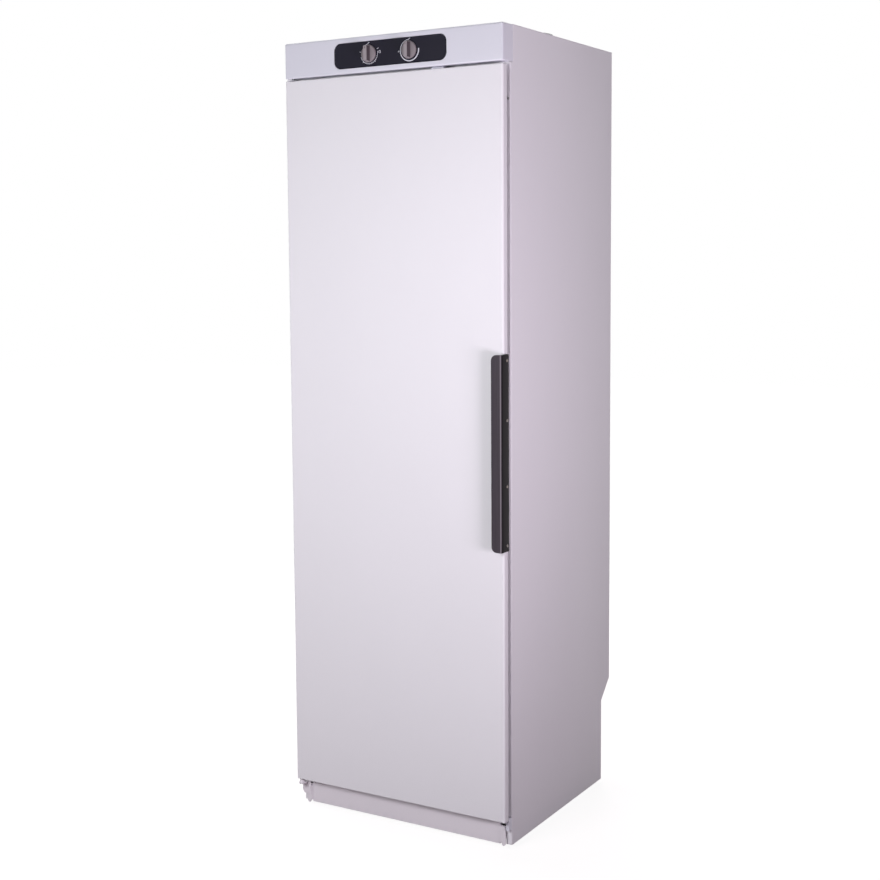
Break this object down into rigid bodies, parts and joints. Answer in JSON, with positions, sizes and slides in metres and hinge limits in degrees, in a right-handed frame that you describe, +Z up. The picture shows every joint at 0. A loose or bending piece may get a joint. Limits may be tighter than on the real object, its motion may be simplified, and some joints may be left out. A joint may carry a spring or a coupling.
{
  "type": "drying cabinet",
  "caption": "Tall free-standing drying cabinet with a full-height hinged door, side handle, control panel with knobs, folding hanger racks inside and a warm-air fan under the roof.",
  "frame": {"origin": "on the floor, under the middle of the overall width and depth, handle included", "axes": "+X to the right seen from the front, +Y from the door to the rear panel, +Z up"},
  "size_m": [0.602, 0.617, 1.935],
  "materials": {
    "white_paint": "smooth semi-gloss powder coat",
    "shaded_paint": "satin powder coat",
    "white_plastic": "satin moulded plastic",
    "black_gloss": "glossy dark insert",
    "grey_knob": "satin grey",
    "dark_handle": "satin dark grey, finely brushed lengthways",
    "grey_rubber": "matt",
    "black_rubber": "matt",
    "zinc_sheet": "zinc-coated sheet",
    "bright_steel": "bright wire",
    "dark_steel": "dull",
    "black_plastic": "moulded"
  },
  "bodies": {
    "cabinet": {"left_side_panel": "white_paint", "right_side_panel": "white_paint", "top_panel": "white_paint", "front_bottom_rail": "white_paint", "front_header_rail": "white_paint", "left_liner": "white_paint", "right_liner": "white_paint", "back_liner": "white_paint", "chamber_floor": "white_paint", "ceiling_panel": "white_paint", "upper_hinge_bracket": "white_paint", "plinth": "shaded_paint", "left_leg_bracket": "shaded_paint", "right_leg_bracket": "shaded_paint", "lower_hinge_bracket": "shaded_paint", "control_panel": "white_plastic", "door_rest_block": "white_plastic", "control_fascia": "black_gloss", "levelling_foot_front_left": "black_rubber", "levelling_foot_front_right": "black_rubber", "levelling_foot_rear_left": "black_rubber", "levelling_foot_rear_right": "black_rubber", "rear_panel": "zinc_sheet", "rear_kick_panel": "zinc_sheet", "base_pan": "zinc_sheet", "rack_bracket_top": "zinc_sheet", "rack_bracket_mid": "zinc_sheet", "rack_bracket_low": "zinc_sheet", "fan_housing": "zinc_sheet", "heater_duct": "zinc_sheet", "exhaust_spigot": "zinc_sheet", "hanger_rack_top": "bright_steel", "heater_element": "dark_steel", "timer_unit": "black_plastic", "thermostat_unit": "black_plastic", "door_switch": "black_plastic", "flange_plug": "black_plastic", "fan_motor": "black_plastic", "cable_gland": "black_plastic"},
    "door": {"door_skin": "white_paint", "door_liner": "white_paint", "door_gasket": "grey_rubber", "door_handle": "dark_handle", "handle_screw_1": "bright_steel", "handle_screw_2": "bright_steel", "handle_screw_3": "bright_steel", "handle_screw_4": "bright_steel", "door_switch_tab": "white_plastic", "glove_rack": "white_plastic", "upper_hinge_bush": "white_plastic", "lower_hinge_bush": "black_plastic"},
    "timer_dial": {"timer_knob": "grey_knob", "timer_shaft": "bright_steel"},
    "thermostat_dial": {"thermostat_knob": "grey_knob", "thermostat_shaft": "bright_steel"},
    "rack_mid": {"hanger_rack_mid": "bright_steel"},
    "rack_low": {"hanger_rack_low": "bright_steel"},
    "fan": {"fan_wheel": "dark_steel"},
    "switch_button": {"door_switch_plunger": "white_plastic"}
  },
  "joints": [
    {"name": "door_hinge", "type": "hinge", "parent": "cabinet", "child": "door", "pos_m": [-0.288, -0.2755, 0.94], "axis": [0, 0, -1], "range_deg": [0, 115]},
    {"name": "timer_turn", "type": "hinge", "parent": "cabinet", "child": "timer_dial", "pos_m": [-0.055, -0.2865, 1.8575], "axis": [0, 1, 0], "range_deg": [0, 300]},
    {"name": "thermostat_turn", "type": "hinge", "parent": "cabinet", "child": "thermostat_dial", "pos_m": [0.055, -0.2865, 1.8575], "axis": [0, 1, 0], "range_deg": [0, 270]},
    {"name": "rack_mid_fold", "type": "hinge", "parent": "cabinet", "child": "rack_mid", "pos_m": [0, 0.2515, 1.19], "axis": [-1, 0, 0], "range_deg": [0, 90]},
    {"name": "rack_low_fold", "type": "hinge", "parent": "cabinet", "child": "rack_low", "pos_m": [0, 0.2515, 0.69], "axis": [-1, 0, 0], "range_deg": [0, 90]},
    {"name": "fan_spin", "type": "hinge", "parent": "cabinet", "child": "fan", "pos_m": [-0.1, 0.0435, 1.8], "axis": [0, 0, 1], "continuous": true},
    {"name": "door_switch_press", "type": "slide", "parent": "cabinet", "child": "switch_button", "axis": [0, 1, 0], "range_m": [0, 0.003], "stiffness_N_per_m": 400, "springref_m": -0.001}
  ]
}
